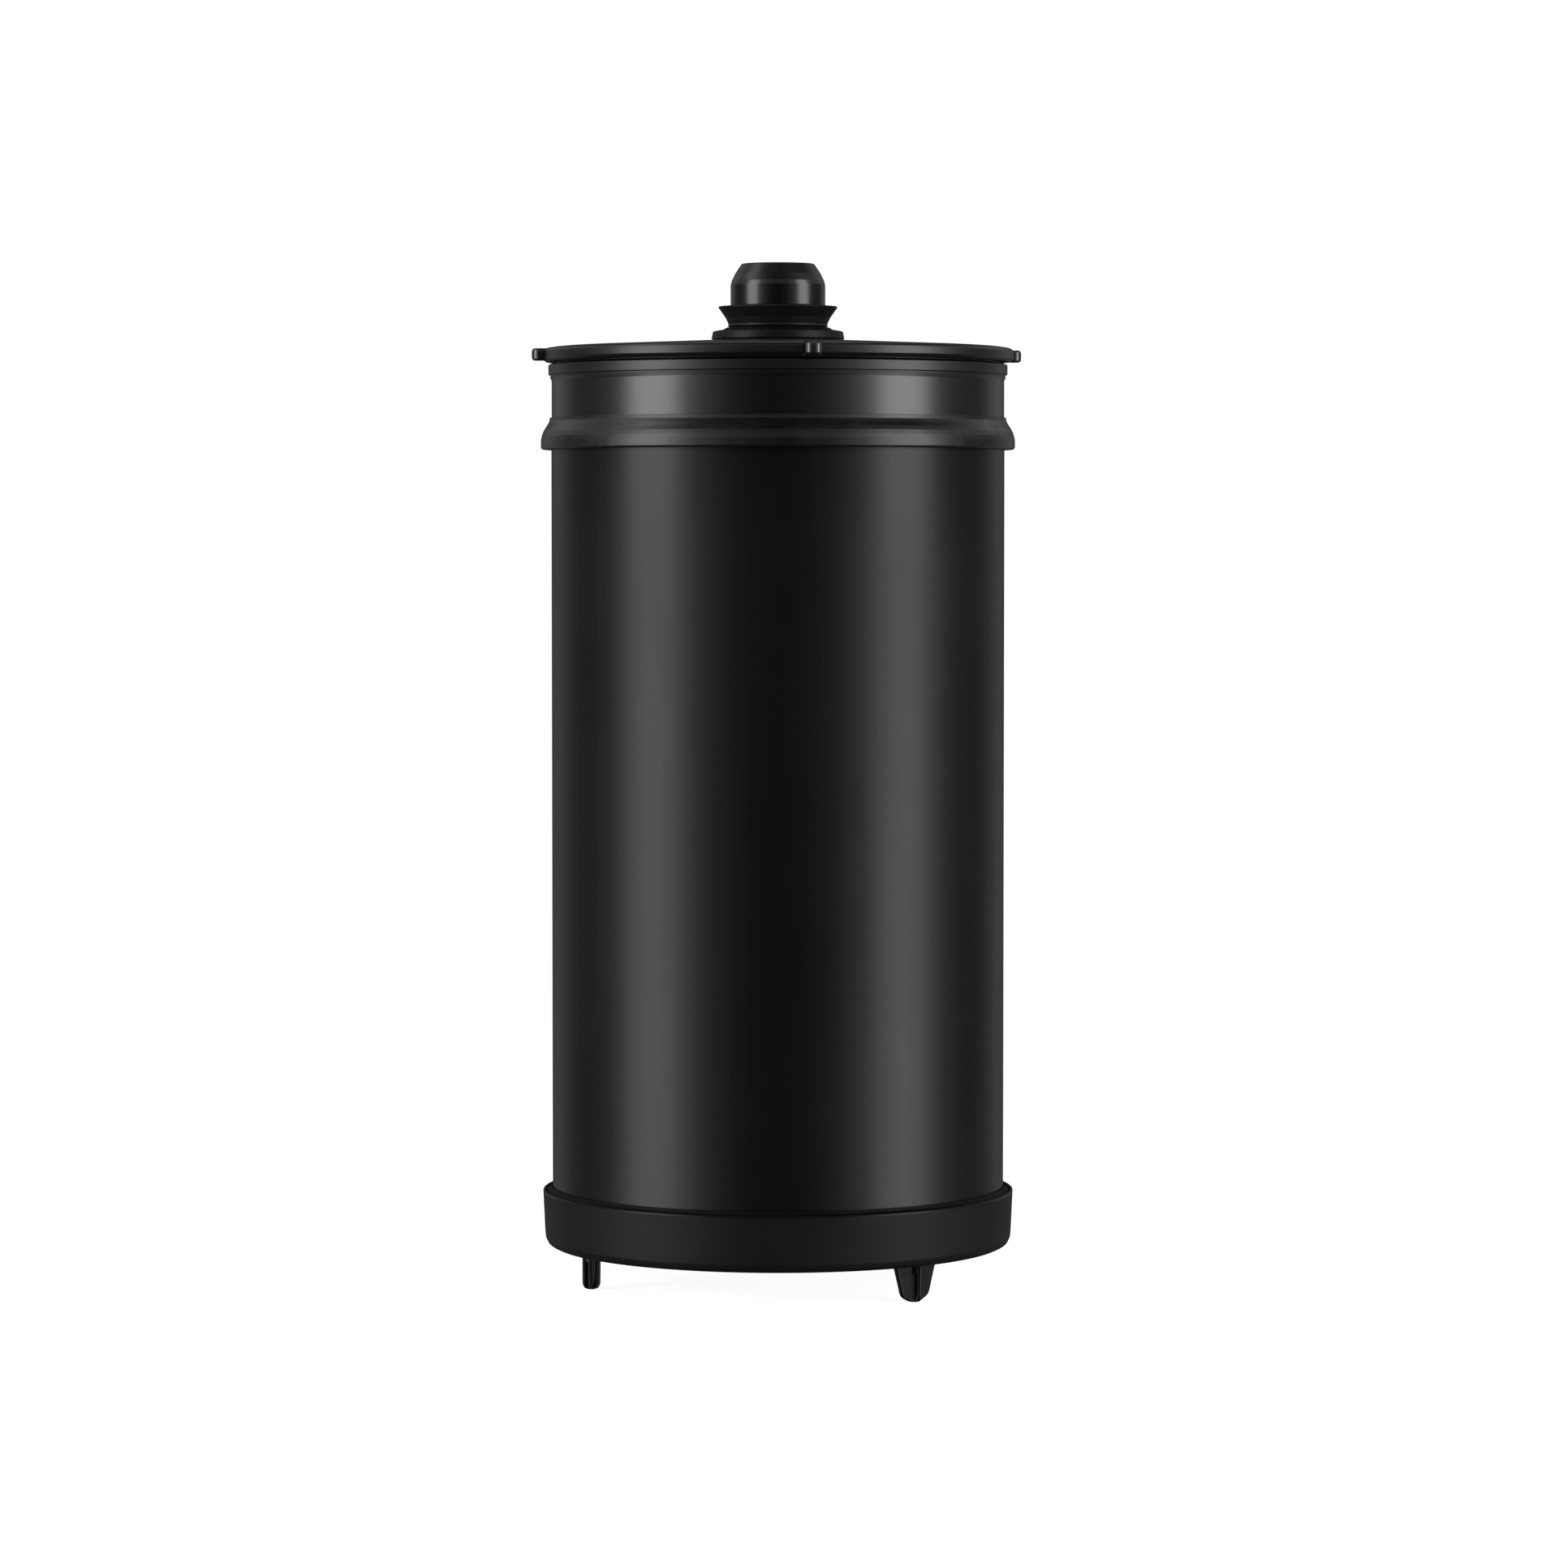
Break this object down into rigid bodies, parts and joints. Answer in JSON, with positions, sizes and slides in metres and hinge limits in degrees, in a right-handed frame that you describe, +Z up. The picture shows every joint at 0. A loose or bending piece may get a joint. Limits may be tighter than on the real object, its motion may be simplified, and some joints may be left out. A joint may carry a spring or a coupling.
{
  "type": "filter canister",
  "caption": "Tall round filter canister: smooth black sleeve, lift-off head with guide pads and a lip-sealed spigot, skirt seal, and a cup base on small finned feet.",
  "frame": {"origin": "centre of the circle of feet, on the plane the canister stands on", "axes": "+Z up along the canister's axis to the spigot; a guide pad lies on each of +X, +Y, -X and -Y"},
  "size_m": [0.1352, 0.1352, 0.28],
  "materials": {
    "satin_black_plastic": "satin",
    "matte_black_plastic": "matte",
    "gloss_black_plastic": "gloss",
    "black_rubber": "matte",
    "carbon": "porous matte",
    "white_felt": "matte",
    "white_plastic": "satin",
    "stainless_steel": "brushed"
  },
  "bodies": {
    "canister": {"sleeve": "satin_black_plastic", "base_cup": "matte_black_plastic", "cup_seal": "black_rubber", "foot_1": "gloss_black_plastic", "foot_2": "gloss_black_plastic", "foot_3": "gloss_black_plastic", "inlet_screen": "stainless_steel", "collar": "satin_black_plastic", "skirt_seal": "black_rubber"},
    "head": {"head_cap": "satin_black_plastic", "guide_pad_1": "gloss_black_plastic", "guide_pad_2": "gloss_black_plastic", "guide_pad_3": "gloss_black_plastic", "guide_pad_4": "gloss_black_plastic", "head_gasket": "black_rubber", "head_oring": "black_rubber", "spigot": "gloss_black_plastic", "lip_seal": "black_rubber", "spigot_gasket": "black_rubber", "bayonet_nut": "matte_black_plastic", "stem_oring": "black_rubber", "valve_spider": "white_plastic", "valve_spring": "stainless_steel"},
    "valve": {"valve_poppet": "white_plastic"},
    "element": {"element_top_cap": "white_plastic", "block_washer_top": "white_felt", "carbon_block": "carbon", "felt_wrap": "white_felt", "core_tube": "white_plastic", "block_washer_bottom": "white_felt", "element_bottom_cap": "white_plastic"}
  },
  "joints": [
    {"name": "head_lift", "type": "slide", "parent": "canister", "child": "head", "axis": [0, 0, 1], "range_m": [0, 0.24]},
    {"name": "element_turn", "type": "hinge", "parent": "head", "child": "element", "pos_m": [0, 0, 0.23], "axis": [0, 0, 1], "range_deg": [0, 80]},
    {"name": "valve_open", "type": "slide", "parent": "head", "child": "valve", "axis": [0, 0, 1], "range_m": [0, 0.0024], "stiffness_N_per_m": 150, "deforming": ["valve_spring"]}
  ]
}
